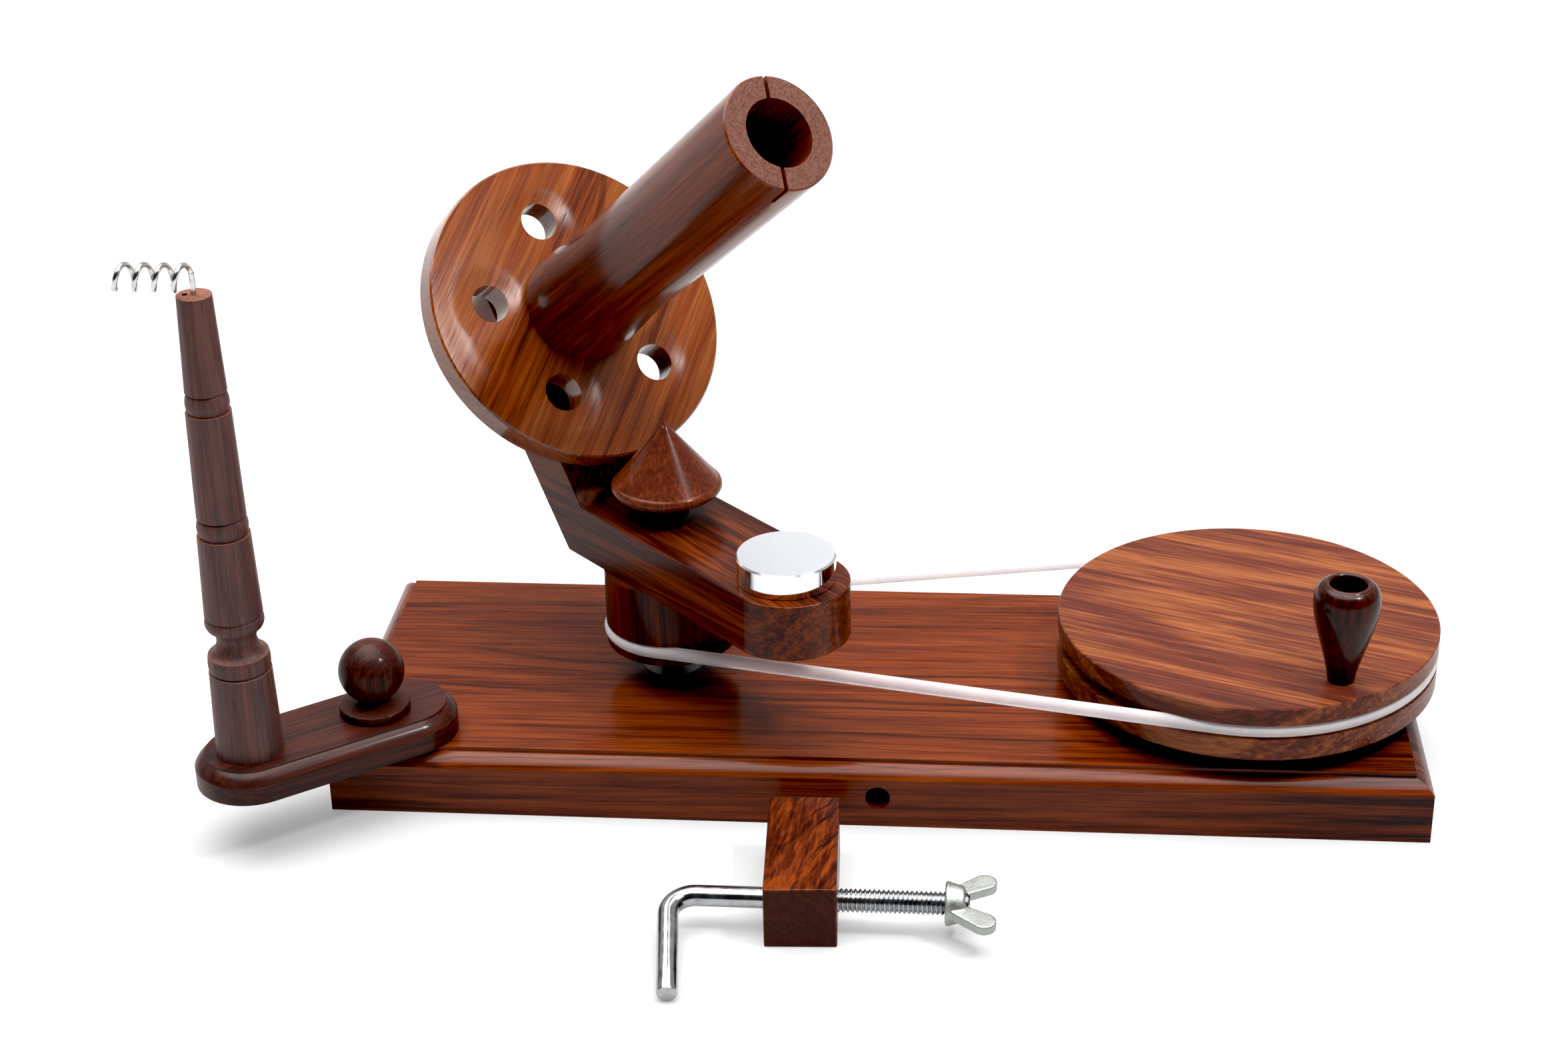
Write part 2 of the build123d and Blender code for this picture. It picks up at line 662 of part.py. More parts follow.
with BuildPart() as clamp_rod:
    with BuildLine() as rod_path:
        FilletPolyline((thread_start, rod_y, rod_level), leg_top, leg_top + leg_dir * leg_length,
                       radius=rod_bend)
    with BuildSketch(Plane(origin=(thread_start, rod_y, rod_level), z_dir=(-1, 0, 0))):
        Circle(rod_radius)
    sweep(path=rod_path.line)
    tip = clamp_rod.faces().filter_by(GeomType.PLANE).sort_by(Axis.Y)[0]
    chamfer(tip.edges(), 0.9)
    crests = int((rod_end - thread_start) / thread_pitch)
    outline = [(0, thread_start), (rod_radius, thread_start)]
    for crest in range(crests):
        low = thread_start + crest * thread_pitch
        outline += [(thread_root, low + 0.2 * thread_pitch), (thread_radius, low + 0.55 * thread_pitch),
                    (thread_radius, low + 0.65 * thread_pitch)]
    outline += [(thread_root, thread_start + crests * thread_pitch), (0, thread_start + crests * thread_pitch)]
    turned(rod_section, outline)

with BuildPart() as clamp_block:
    block_place = Location((block_x, rod_y, 0), (0, 0, block_turn))
    with Locations(block_place * Location((0, block_size[1] / 2 - block_front, block_size[2] / 2))):
        Box(*block_size)
    fillet(clamp_block.edges(), 0.7)
    with Locations(block_place * Location((block_size[0] / 2, 0, rod_level), (0, 90, 0))):
        Hole(block_hole, depth=block_size[0])

with BuildPart() as wing_nut:
    turned(rod_section, [(0, nut_face), (7.4, nut_face), (7.8, nut_face + 0.5), (6.4, nut_face + 6.2),
                         (5.9, nut_face + 6.7), (0, nut_face + 6.7)])
    for side in (-1, 1):
        with BuildSketch(Plane.XY.offset(rod_level - wing_thick / 2)):
            with BuildLine():
                CenterArc((nut_face + 3.2, rod_y + side * 4.6), 2.6, 0, 360)
                CenterArc((nut_face + 13.3, rod_y + side * wing_reach), wing_tip, 0, 360)
            make_hull()
        extrude(amount=wing_thick)
    with Locations(Plane(origin=(nut_face, rod_y, rod_level), z_dir=(-1, 0, 0)).location):
        Hole(wing_bore, depth=rod_end)

pieces = {
    "base_board": base_board, "flyer_shaft": flyer_shaft, "wheel_axle": wheel_axle,
    "shaft_washers": shaft_washers, "shaft_nuts": shaft_nuts, "shaft_rings": shaft_rings,
    "friction_cone": friction_cone, "drive_belt": drive_belt, "drive_wheel": drive_wheel,
    "wheel_bearing_outers": wheel_bearing_outers, "wheel_bearing_inners": wheel_bearing_inners,
    "wheel_bearing_balls": wheel_bearing_balls, "crank_knob": crank_knob, "crank_screw": crank_screw,
    "flyer_pulley": flyer_pulley, "flyer_bearing_outers": flyer_bearing_outers,
    "flyer_bearing_inners": flyer_bearing_inners, "flyer_bearing_balls": flyer_bearing_balls,
    "flyer_arm": flyer_arm, "counterweight": counterweight, "counterweight_screw": counterweight_screw,
    "spindle_bolt": spindle_bolt, "spindle_washers": spindle_washers, "spindle_nut": spindle_nut,
    "spindle_sleeves": spindle_sleeves, "spindle_bearing_inners": spindle_bearing_inners,
    "spindle_bearing_outers": spindle_bearing_outers, "spindle_bearing_balls": spindle_bearing_balls,
    "spindle_flange": spindle_flange, "spindle_tube": spindle_tube, "guide_plate": guide_plate,
    "guide_post": guide_post, "post_screw": post_screw, "wire_eye": wire_eye, "guide_stud": guide_stud,
    "guide_knob": guide_knob, "knob_insert": knob_insert, "clamp_rod": clamp_rod,
    "clamp_block": clamp_block, "wing_nut": wing_nut,
}
for name, piece in pieces.items():
    piece.part.label = name
    export_step(piece.part, f"parts/{name}.step")

# Numbers that the joints and mounts use.
belt_ratio = wheel_belt_radius / pulley_belt_radius
print("flyer turns per wheel turn", round(belt_ratio, 5))
print("spindle turns per wheel turn", round(belt_ratio * contact_radius / flange_radius, 5))
print("flange centre", flange_centre, "spindle axis", spindle_axis)
print("leg middle", leg_top + leg_dir * (leg_length * 0.6), "leg axis", leg_dir)
print("spindle bore", flange_centre + spindle_axis * 100)
print("post foot", post_foot, "eye centre", eye_frame.origin)
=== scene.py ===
import json
from math import cos, pi, radians, sin, tau

import bmesh
import bpy
from mathutils import Matrix, Vector


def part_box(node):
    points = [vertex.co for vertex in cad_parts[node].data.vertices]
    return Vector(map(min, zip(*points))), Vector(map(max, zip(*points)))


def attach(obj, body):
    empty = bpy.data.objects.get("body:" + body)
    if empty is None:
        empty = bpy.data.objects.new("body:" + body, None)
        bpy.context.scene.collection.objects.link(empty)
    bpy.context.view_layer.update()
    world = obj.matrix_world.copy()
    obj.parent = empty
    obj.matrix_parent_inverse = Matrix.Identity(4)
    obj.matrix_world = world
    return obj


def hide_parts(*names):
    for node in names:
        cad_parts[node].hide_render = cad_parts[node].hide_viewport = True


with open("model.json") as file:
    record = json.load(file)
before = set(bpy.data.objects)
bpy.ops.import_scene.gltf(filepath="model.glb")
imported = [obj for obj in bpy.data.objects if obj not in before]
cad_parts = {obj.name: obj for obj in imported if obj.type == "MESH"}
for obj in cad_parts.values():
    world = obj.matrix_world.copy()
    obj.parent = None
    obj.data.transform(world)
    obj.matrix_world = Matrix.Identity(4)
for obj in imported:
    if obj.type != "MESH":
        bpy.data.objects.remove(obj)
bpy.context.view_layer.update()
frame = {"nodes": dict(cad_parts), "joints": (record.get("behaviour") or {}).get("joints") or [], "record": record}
nodes = frame["nodes"]
joints = {joint["name"]: joint for joint in frame["joints"]}
mounts = {mount["name"]: mount for mount in frame["record"]["mounts"]}

MM = 0.001
X = Vector((1, 0, 0))
UP = Vector((0, 0, 1))


def centre(node):
    """Middle of a CAD node's box."""
    low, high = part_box(node)
    return (low + high) / 2


# ---- directions and places that come from the frame ---------------------------------------------
spindle_axis = Vector(joints["spindle_spin"]["axis"]).normalized()
flange_centre = Vector(joints["spindle_spin"]["pos_m"])
flyer_place = Vector(joints["flyer_spin"]["pos_m"])
arm_dir = Vector((spindle_axis.x, spindle_axis.y, 0)).normalized()
down_slope = (arm_dir - spindle_axis * arm_dir.dot(spindle_axis)).normalized()
pivot = Vector(joints["guide_swing"]["pos_m"])
post = centre("guide_post")
guide_dir = Vector((pivot.x - post.x, pivot.y - post.y, 0)).normalized()
nut_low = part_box("wing_nut")[0] / MM
nut_middle = centre("wing_nut") / MM

# Sizes in mm that the frame's boxes don't give.
FLANGE_RADIUS = 59.5
FLANGE_HOLES = 5
HOLE_CIRCLE = 36
ROD_RADIUS = 3.7
ROD_BEND = 9
LEG_LENGTH = 46.2
THREAD_CREST = 4.1
THREAD_ROOT = 3.35
THREAD_PITCH = 1.6
THREAD_START = -16
NUT_BORE = 4.25
WING_THICK = 3.5
WING_FOOT = 2.9
WING_TIP = 4.2
CAST_GRAIN = 0.32

# How finely the rod is divided: sides round it, steps in one turn of thread and in its bend.
ROD_SIDES = 40
STEPS_PER_TURN = 10
BEND_STEPS = 24


# ---- material building ---------------------------------------------------------------------------
class Tree:
    """A material's node tree, with short calls for the nodes that the materials share."""

    def __init__(self, name, **shader_values):
        self.material = bpy.data.materials.new(name)
        self.material.use_nodes = True
        self.tree = self.material.node_tree
        self.shader = self.tree.nodes["Principled BSDF"]
        for socket, value in shader_values.items():
            self.feed(self.shader.inputs[socket.replace("_", " ")], value)

    def feed(self, socket, value):
        if isinstance(value, bpy.types.NodeSocket):
            self.tree.links.new(value, socket)
        else:
            socket.default_value = value

    def add(self, kind, inputs, output=0, **settings):
        """A node with some inputs fed, by name or number. Returns one of its outputs."""
        node = self.tree.nodes.new("ShaderNode" + kind)
        for key, value in settings.items():
            setattr(node, key, value)
        for key, value in inputs.items():
            self.feed(node.inputs[key], value)
        return node.outputs[output]

    def math(self, operation, a, b=0.0, c=0.0):
        return self.add("Math", {0: a, 1: b, 2: c}, operation=operation)

    def vector(self, operation, a, b=(0, 0, 0), output=0):
        return self.add("VectorMath", {0: a, 1: b}, output, operation=operation)

    def noise(self, at, detail=2.0, roughness=0.5, scale=1.0):
        """Three-dimensional noise, from 0 to 1."""
        return self.add("TexNoise", {"Vector": at, "Scale": scale, "Detail": detail,
                                     "Roughness": roughness})

    def noise_line(self, along, detail=2.0, roughness=0.5):
        """Noise along one number, from 0 to 1."""
        return self.add("TexNoise", {"W": along, "Scale": 1.0, "Detail": detail,
                                     "Roughness": roughness}, noise_dimensions="1D")

    def between(self, value, low, high, to_low=0.0, to_high=1.0):
        """Smooth step of a value from low to high, scaled to two other limits."""
        return self.add("MapRange", {"Value": value, "From Min": low, "From Max": high,
                                     "To Min": to_low, "To Max": to_high},
                        interpolation_type="SMOOTHSTEP")

    def ramp(self, value, stops):
        """Colour ramp through (place, colour) stops."""
        node = self.tree.nodes.new("ShaderNodeValToRGB")
        elements = node.color_ramp.elements
        while len(elements) < len(stops):
            elements.new(0.5)
        for element, (place, colour) in zip(elements, stops):
            element.position = place
            element.color = (*colour, 1)
        self.feed(node.inputs[0], value)
        return node.outputs[0]

    def mix(self, share, a, b):
        """Blend from colour a to colour b."""
        node = self.tree.nodes.new("ShaderNodeMix")
        node.data_type = "RGBA"
        factor, first, second, result = 0, 6, 7, 2
        for key, value in ((factor, share), (first, a), (second, b)):
            self.feed(node.inputs[key], (*value, 1) if isinstance(value, tuple) else value)
        return node.outputs[result]

    def bump(self, height):
        """Bump from a height in millimetres."""
        normal = self.add("Bump", {"Height": height, "Distance": MM, "Strength": 1.0})
        self.feed(self.shader.inputs["Normal"], normal)

    def normal(self):
        """The surface's own direction, in the object's frame."""
        return self.tree.nodes.new("ShaderNodeTexCoord").outputs["Normal"]

    def place(self, origin, along, face):
        """Object coordinates in mm from an origin: X runs along one direction, Z towards a face."""
        x = along.normalized()
        z = (face - x * face.dot(x)).normalized()
        turn = Matrix((x, z.cross(x), z)).transposed().to_euler()
        coordinates = self.tree.nodes.new("ShaderNodeTexCoord").outputs["Object"]
        return self.add("Mapping", {"Vector": coordinates, "Location": origin, "Rotation": turn,
                                    "Scale": (MM, MM, MM)}, vector_type="TEXTURE")


# Rosewood's colours, from its dark streaks to its palest bands, and a pale film over them that is partly dust and
# partly a painted sheen.
BLACKISH = (0.014, 0.0025, 0.0015)
MAROON = (0.046, 0.0075, 0.0028)
RED_BROWN = (0.088, 0.0135, 0.003)
RUST = (0.145, 0.028, 0.005)
TAN = (0.2, 0.056, 0.012)
PALE_CUT = (0.2, 0.085, 0.055)
DUST_AND_SHEEN = (0.3, 0.2, 0.2)

# Heights in mm of what can be felt on a wooden face.
PORE_DEPTH = 0.03
FIBRE_HEIGHT = 0.02
CUT_ROUGHNESS = 0.12


def wood(name, origin, grain, face, colours, pith, ring, wave, dark_lines, roughness, gloss=0.08,
         coat=0.16, dust_and_sheen=0.0, end_grain=0.15, end_colours=(RUST, PALE_CUT), tone_and_painted_shade_span=None, seed=0.0,
         dents=None):
    """Rosewood cut from a log, pith mm from the log's heart, with growth bands ring mm wide.

    Colours run from dark to light. Wave is how far the bands wander in mm, and dark_lines the
    strength of the black lines between them. The haze share mixes in a pale film that is partly
    dust in the fibres and partly a painted sheen. End_grain is how much a face cut across the
    fibres takes the end colours. Paler is two distances along the grain, between which the wood
    turns from dark to light; on the base this is painted shade at the end under the wheel, and on
    the tube it is partly the wood's own tone and partly painted shade at its foot. Dents is a
    function that makes a height in mm, which is added to the surface.
    """
    t = Tree(name, Coat_Weight=coat, Coat_Roughness=0.12, Specular_IOR_Level=gloss)
    local = t.place(origin, grain, face)
    shifted = t.vector("ADD", local, (seed * 731, seed * 57, seed * 91))

    def stretched(along, across):
        return t.vector("MULTIPLY", shifted, (along, across, across))

    def wander(along, across, reach):
        moved = t.add("TexNoise", {"Vector": stretched(along, across), "Scale": 1.0, "Detail": 2.0}, 1)
        return t.vector("MULTIPLY", t.vector("SUBTRACT", moved, (0.5, 0.5, 0.5)), (0, reach, reach))

    # Distance from the log's heart, bent by a long and a short wave.
    log = t.vector("ADD", local, wander(0.006, 0.02, wave * 6))
    log = t.vector("ADD", log, wander(0.03, 0.1, wave))
    log = t.vector("ADD", t.vector("MULTIPLY", log, (0, 1, 1)), (0, 0, pith))
    years = t.math("MULTIPLY_ADD", t.vector("LENGTH", log, output=1), 1 / ring, seed)

    # Tone: growth bands, fibres, streaks and a slow drift, added by their shares.
    bands = t.noise_line(years, 3.0, 0.6)
    fibres = t.noise(stretched(0.02, 0.8), 3.0, 0.6)
    streaks = t.noise(stretched(0.012, 0.3), 3.0, 0.6)
    drift = t.noise(stretched(0.005, 0.03), 2.0)
    tone = t.math("MULTIPLY_ADD", bands, 0.28, t.math("MULTIPLY", fibres, 0.24))
    tone = t.math("MULTIPLY_ADD", streaks, 0.28, t.math("MULTIPLY_ADD", drift, 0.2, tone))
    # Darker towards one end along the grain: on the base, painted shade at the end under the wheel; on the tube,
    # partly the wood's own tone and partly painted shade at its foot.
    if tone_and_painted_shade_span:
        along = t.add("SeparateXYZ", {0: local})
        tone = t.math("ADD", tone, t.between(along, *tone_and_painted_shade_span, -0.07, 0.02))
    dark, mid, light = colours
    colour = t.ramp(tone, [(0.38, dark), (0.47, mid), (0.58, light), (0.7, mid)])

    # Black lines that come and go along the grain, and short open pores.
    edge = t.noise_line(t.math("MULTIPLY_ADD", years, 2.3, 17.0), 2.0, 0.7)
    broken = t.between(t.noise(stretched(0.008, 0.05), 2.0), 0.35, 0.6, 0.0, dark_lines)
    colour = t.mix(t.math("MULTIPLY", t.between(edge, 0.56, 0.68), broken), colour, BLACKISH)

    pores = t.between(t.noise(stretched(0.06, 2.6), 1.0), 0.62, 0.72)
    colour = t.mix(t.math("MULTIPLY", pores, 0.5), colour, BLACKISH)
    value = t.between(fibres, 0.3, 0.7, 0.82, 1.16)
    colour = t.add("HueSaturation", {"Color": colour, "Value": value})
    # Pale film in the fibres: partly dust, partly a painted sheen in place of reflection.
    if dust_and_sheen:
        colour = t.mix(t.between(fibres, 0.25, 0.8, 0.4 * dust_and_sheen, dust_and_sheen), colour, DUST_AND_SHEEN)

    # Faces cut across the fibres.
    cut = t.math("ABSOLUTE", t.vector("DOT_PRODUCT", t.normal(), tuple(grain.normalized()), 1))
    across = t.between(cut, 0.85, 0.97, 0.0, end_grain)
    speckle = t.noise(t.vector("MULTIPLY", shifted, (1.2, 1.2, 1.2)), 3.0, 0.7)
    face_dark, face_light = end_colours
    cut_face = t.ramp(speckle, [(0.35, face_dark), (0.6, face_light)])
    t.feed(t.shader.inputs["Base Color"], t.mix(across, colour, cut_face))

    polish = t.between(drift, 0.3, 0.7, roughness - 0.04, roughness + 0.06)
    polish = t.math("MULTIPLY_ADD", across, 0.3, t.math("MULTIPLY_ADD", pores, 0.2, polish))
    t.feed(t.shader.inputs["Roughness"], polish)
    height = t.math("MULTIPLY_ADD", pores, -PORE_DEPTH, t.math("MULTIPLY", fibres, FIBRE_HEIGHT))
    height = t.math("MULTIPLY_ADD", t.math("MULTIPLY", across, speckle), CUT_ROUGHNESS, height)
    if dents:
        height = t.math("ADD", height, dents(t))
    t.bump(height)
    return t.material


def flange_dents(t):
    """Hand sanding has eased the flange's face: it falls away towards its rim and round each hole."""
    rim_fall = 1.6
    hole_fall = 1.2
    flat = t.vector("MULTIPLY", t.place(flange_centre, down_slope, spindle_axis), (1, 1, 0))
    out = t.vector("LENGTH", flat, output=1)
    height = t.between(out, FLANGE_RADIUS - 13, FLANGE_RADIUS + 3, 0.0, -rim_fall)
    for hole in range(FLANGE_HOLES):
        angle = pi + tau * hole / FLANGE_HOLES
        place = (HOLE_CIRCLE * cos(angle), HOLE_CIRCLE * sin(angle), 0)
        away = t.vector("LENGTH", t.vector("SUBTRACT", flat, place), output=1)
        height = t.math("ADD", height, t.between(away, 5.0, 17.0, -hole_fall, 0.0))
    facing = t.vector("DOT_PRODUCT", t.normal(), tuple(spindle_axis), 1)
    return t.math("MULTIPLY", height, t.between(facing, 0.2, 0.6))


def metal(name, origin, axis, colour, roughness, lathe=0.0, cloud=0.06, grit=0.0):
    """Steel or zinc. Lathe is the depth in mm of lines turned round the axis, cloud the unevenness
    of its polish, and grit the height in mm of a cast skin.
    """
    t = Tree(name, Metallic=1.0)
    local = t.place(origin, axis, Vector((0.31, 0.62, 0.72)))
    mottle = t.noise(t.vector("MULTIPLY", local, (0.35, 0.35, 0.35)), 4.0, 0.6)
    tint = t.between(mottle, 0.3, 0.7, 0.88, 1.05)
    shade = t.add("HueSaturation", {"Color": (*colour, 1), "Value": tint})
    t.feed(t.shader.inputs["Base Color"], shade)
    t.feed(t.shader.inputs["Roughness"], t.between(mottle, 0.3, 0.7, roughness, roughness + cloud))
    if lathe:
        turned = t.noise(t.vector("MULTIPLY", local, (9.0, 0.05, 0.05)), 2.0, 0.7)
        t.bump(t.math("MULTIPLY", turned, lathe))
    if grit:
        skin = t.noise(t.vector("MULTIPLY", local, (1.6, 1.6, 1.6)), 4.0, 0.7)
        t.bump(t.math("MULTIPLY", skin, grit))
    return t.material


def faced_steel(name, origin):
    """A disc faced on a lathe and polished: faint rings on its top, a mirror on its side."""
    t = Tree(name, Metallic=1.0)
    local = t.place(origin, X, UP)
    radius = t.vector("LENGTH", t.vector("MULTIPLY", local, (1, 1, 0)), output=1)
    rings = t.noise_line(t.math("MULTIPLY", radius, 4.0), 3.0, 0.7)
    top = t.between(t.vector("DOT_PRODUCT", t.normal(), (0, 0, 1), 1), 0.6, 0.9)
    # The top's paler colour is painted light: it brightens the top, which faces the overhead light. The rings and
    # duller polish on it are the steel's own.
    t.feed(t.shader.inputs["Base Color"], t.mix(top, (0.78, 0.79, 0.81), (0.9, 0.92, 0.95)))
    t.feed(t.shader.inputs["Roughness"], t.math("MULTIPLY_ADD", top, 0.26, 0.07))
    t.bump(t.math("MULTIPLY", t.math("MULTIPLY", rings, top), 0.01))
    return t.material


def belt_plastic(name):
    """Milky polyurethane cord, clear enough to let some of its ground through."""
    lilac, cream = (0.84, 0.8, 0.85), (0.93, 0.88, 0.86)
    # The faint pinkish emission is a painted glow: the cord lights itself in place of light it would gather from
    # the white floor.
    t = Tree(name, Transmission_Weight=0.6, IOR=1.2, Subsurface_Weight=0.5,
             Subsurface_Scale=0.0015, Subsurface_Radius=(1.0, 1.0, 1.0), Specular_IOR_Level=0.5,
             Emission_Strength=0.03, Emission_Color=(1.0, 0.93, 0.9, 1.0))
    local = t.place(flyer_place, X, UP)
    cloud = t.noise(t.vector("MULTIPLY", local, (0.08, 0.16, 0.16)), 3.0, 0.6)
    t.feed(t.shader.inputs["Base Color"], t.mix(t.between(cloud, 0.35, 0.65), lilac, cream))
    t.feed(t.shader.inputs["Roughness"], t.between(cloud, 0.3, 0.7, 0.35, 0.5))
    t.bump(t.math("MULTIPLY", cloud, 0.008))
    return t.material


def dress(node, material):
    """Gives a CAD node its material."""
    mesh = nodes[node].data
    mesh.materials.clear()
    mesh.materials.append(material)


# ---- wood -----------------------------------------------------------------------------------------
# The base's right end is darkened with painted shade, where the wheel shades it.
dress("base_board", wood("Rosewood_base", centre("base_board"), Vector((1, 0.015, 0.02)),
                         Vector((0, -0.35, 1)), (BLACKISH, RED_BROWN, RUST), pith=85, ring=3.5,
                         wave=1, dark_lines=0.75, roughness=0.26, coat=0.22, tone_and_painted_shade_span=(195, 90),
                         seed=1.3))
dress("drive_wheel", wood("Rosewood_wheel", centre("drive_wheel"), Vector((1, -0.38, 0.03)),
                          Vector((0, 0.2, 1)), (MAROON, RED_BROWN, TAN), pith=60, ring=7, wave=1.5,
                          dark_lines=0.35, roughness=0.32, dust_and_sheen=0.06, seed=2.1))
dress("flyer_pulley", wood("Rosewood_pulley", centre("flyer_pulley"), UP, Vector((-1, -1, 0)),
                           (BLACKISH, MAROON, RED_BROWN), pith=30, ring=2.5, wave=0.8, dark_lines=0.8,
                           roughness=0.25, seed=3.7))
dress("flyer_arm", wood("Rosewood_arm", centre("flyer_arm"), arm_dir + UP * 0.04,
                        Vector((0.2, -0.2, 1)), (BLACKISH, MAROON, RUST), pith=50, ring=8, wave=3,
                        dark_lines=0.4, roughness=0.28, coat=0.22, seed=4.4))
dress("friction_cone", wood("Rosewood_cone", centre("friction_cone"), UP, Vector((0.3, -1, 0)),
                            (RED_BROWN, RED_BROWN, RUST), pith=60, ring=12, wave=1.5, dark_lines=0.15,
                            roughness=0.3, coat=0.25, dust_and_sheen=0.04, seed=5.2))
dress("spindle_flange", wood("Rosewood_flange", flange_centre,
                             spindle_axis.cross(down_slope) * 0.85 - down_slope * 0.76,
                             spindle_axis, (MAROON, RUST, TAN), pith=45, ring=5, wave=2,
                             dark_lines=0.6, roughness=0.2, gloss=0.1, coat=0.9, seed=6.6,
                             dents=flange_dents))
# The tube darkens towards its foot: partly its own tone, partly painted shade.
dress("spindle_tube", wood("Rosewood_tube", flange_centre, spindle_axis, -down_slope,
                           (MAROON, RED_BROWN, RUST), pith=40, ring=9, wave=2, dark_lines=0.25,
                           roughness=0.27, coat=0.38, end_grain=0.9, tone_and_painted_shade_span=(25, 110), seed=7.1,
                           end_colours=((0.07, 0.024, 0.016), (0.15, 0.068, 0.05))))
dress("guide_plate", wood("Rosewood_plate", centre("guide_plate"), guide_dir, UP,
                          (BLACKISH, BLACKISH, MAROON), pith=60, ring=6, wave=2, dark_lines=0.6,
                          roughness=0.36, gloss=0.12, dust_and_sheen=0.03, seed=8.3))
dress("guide_knob", wood("Rosewood_ball", centre("guide_knob"), UP, Vector((1, -1, 0)),
                         (BLACKISH, BLACKISH, MAROON), pith=30, ring=4, wave=2, dark_lines=0.6,
                         roughness=0.4, coat=0.1, dust_and_sheen=0.03, seed=9.9))
dress("guide_post", wood("Rosewood_post", centre("guide_post"), UP, Vector((0.4, -1, 0)),
                         (BLACKISH, MAROON, RED_BROWN), pith=35, ring=7, wave=1.5, dark_lines=0.4,
                         roughness=0.5, coat=0.0, gloss=0.4, dust_and_sheen=0.15, end_grain=0.8, seed=10.4))
dress("crank_knob", wood("Rosewood_crank_knob", centre("crank_knob"), UP, Vector((-0.5, -1, 0)),
                         (BLACKISH, BLACKISH, MAROON), pith=30, ring=5, wave=1.5, dark_lines=0.6,
                         roughness=0.3, coat=0.25, seed=11.8))
dress("clamp_block", wood("Rosewood_block", centre("clamp_block"), Vector((0.12, 1, 0.16)),
                          Vector((0.3, 0, 1)), (BLACKISH, MAROON, RUST), pith=20, ring=3, wave=4,
                          dark_lines=0.95, roughness=0.3, end_grain=0.85,
                          end_colours=(BLACKISH, MAROON), seed=12.5))

# ---- metal and plastic ----------------------------------------------------------------------------
ZINC = (0.38, 0.39, 0.4)
STEEL = (0.36, 0.36, 0.37)
BRIGHT_WIRE = (0.62, 0.62, 0.6)
CAST = (0.36, 0.375, 0.35)
BRASS = (0.78, 0.56, 0.24)
for node, axis, colour, roughness, lathe in (
    ("flyer_shaft", UP, STEEL, 0.22, 0.01),
    ("wheel_axle", UP, STEEL, 0.22, 0.01),
    ("shaft_washers", UP, ZINC, 0.28, 0.0),
    ("shaft_nuts", UP, ZINC, 0.3, 0.0),
    ("shaft_rings", UP, STEEL, 0.3, 0.0),
    ("wheel_bearing_outers", UP, STEEL, 0.18, 0.01),
    ("wheel_bearing_inners", UP, STEEL, 0.18, 0.01),
    ("wheel_bearing_balls", UP, STEEL, 0.05, 0.0),
    ("flyer_bearing_outers", UP, STEEL, 0.18, 0.01),
    ("flyer_bearing_inners", UP, STEEL, 0.18, 0.01),
    ("flyer_bearing_balls", UP, STEEL, 0.05, 0.0),
    ("spindle_bearing_outers", spindle_axis, STEEL, 0.18, 0.01),
    ("spindle_bearing_inners", spindle_axis, STEEL, 0.18, 0.01),
    ("spindle_bearing_balls", spindle_axis, STEEL, 0.05, 0.0),
    ("spindle_bolt", spindle_axis, ZINC, 0.26, 0.0),
    ("spindle_washers", spindle_axis, ZINC, 0.28, 0.0),
    ("spindle_nut", spindle_axis, ZINC, 0.28, 0.0),
    ("spindle_sleeves", spindle_axis, STEEL, 0.25, 0.01),
    ("counterweight_screw", UP, ZINC, 0.3, 0.0),
    ("crank_screw", UP, ZINC, 0.3, 0.0),
    ("post_screw", UP, ZINC, 0.3, 0.0),
    ("guide_stud", UP, STEEL, 0.25, 0.01),
    ("wire_eye", X, BRIGHT_WIRE, 0.16, 0.0),
):
    dress(node, metal("Metal_" + node, centre(node), axis, colour, roughness, lathe))
dress("knob_insert", metal("Brass_insert", centre("knob_insert"), UP, BRASS, 0.3, 0.01))
dress("counterweight", faced_steel("Polished_steel", centre("counterweight")))
dress("drive_belt", belt_plastic("Clear_belt"))


# ---- clamp rod and wing nut, in finer shape than their CAD nodes ----------------------------------
def finish_mesh(name, work, material):
    """Links a bmesh as a smooth-shaded object whose sharp edges stay crisp."""
    bmesh.ops.recalc_face_normals(work, faces=work.faces)
    mesh = bpy.data.meshes.new(name)
    work.to_mesh(mesh)
    work.free()
    mesh.shade_smooth()
    mesh.set_sharp_from_angle(angle=radians(35))
    mesh.materials.append(material)
    piece = bpy.data.objects.new(name, mesh)
    bpy.context.collection.objects.link(piece)
    return piece


def ring_skin(work, rings):
    """Joins rings of points to a closed tube with a fan at both ends."""
    rows = [[work.verts.new(point) for point in ring] for ring in rings]
    sides = len(rows[0])
    for row, following in zip(rows, rows[1:]):
        for side in range(sides):
            after = (side + 1) % sides
            work.faces.new((row[side], row[after], following[after], following[side]))
    for row in (rows[0], rows[-1]):
        hub = work.verts.new(sum((vert.co for vert in row), Vector()) / sides)
        for side in range(sides):
            work.faces.new((row[side], row[(side + 1) % sides], hub))


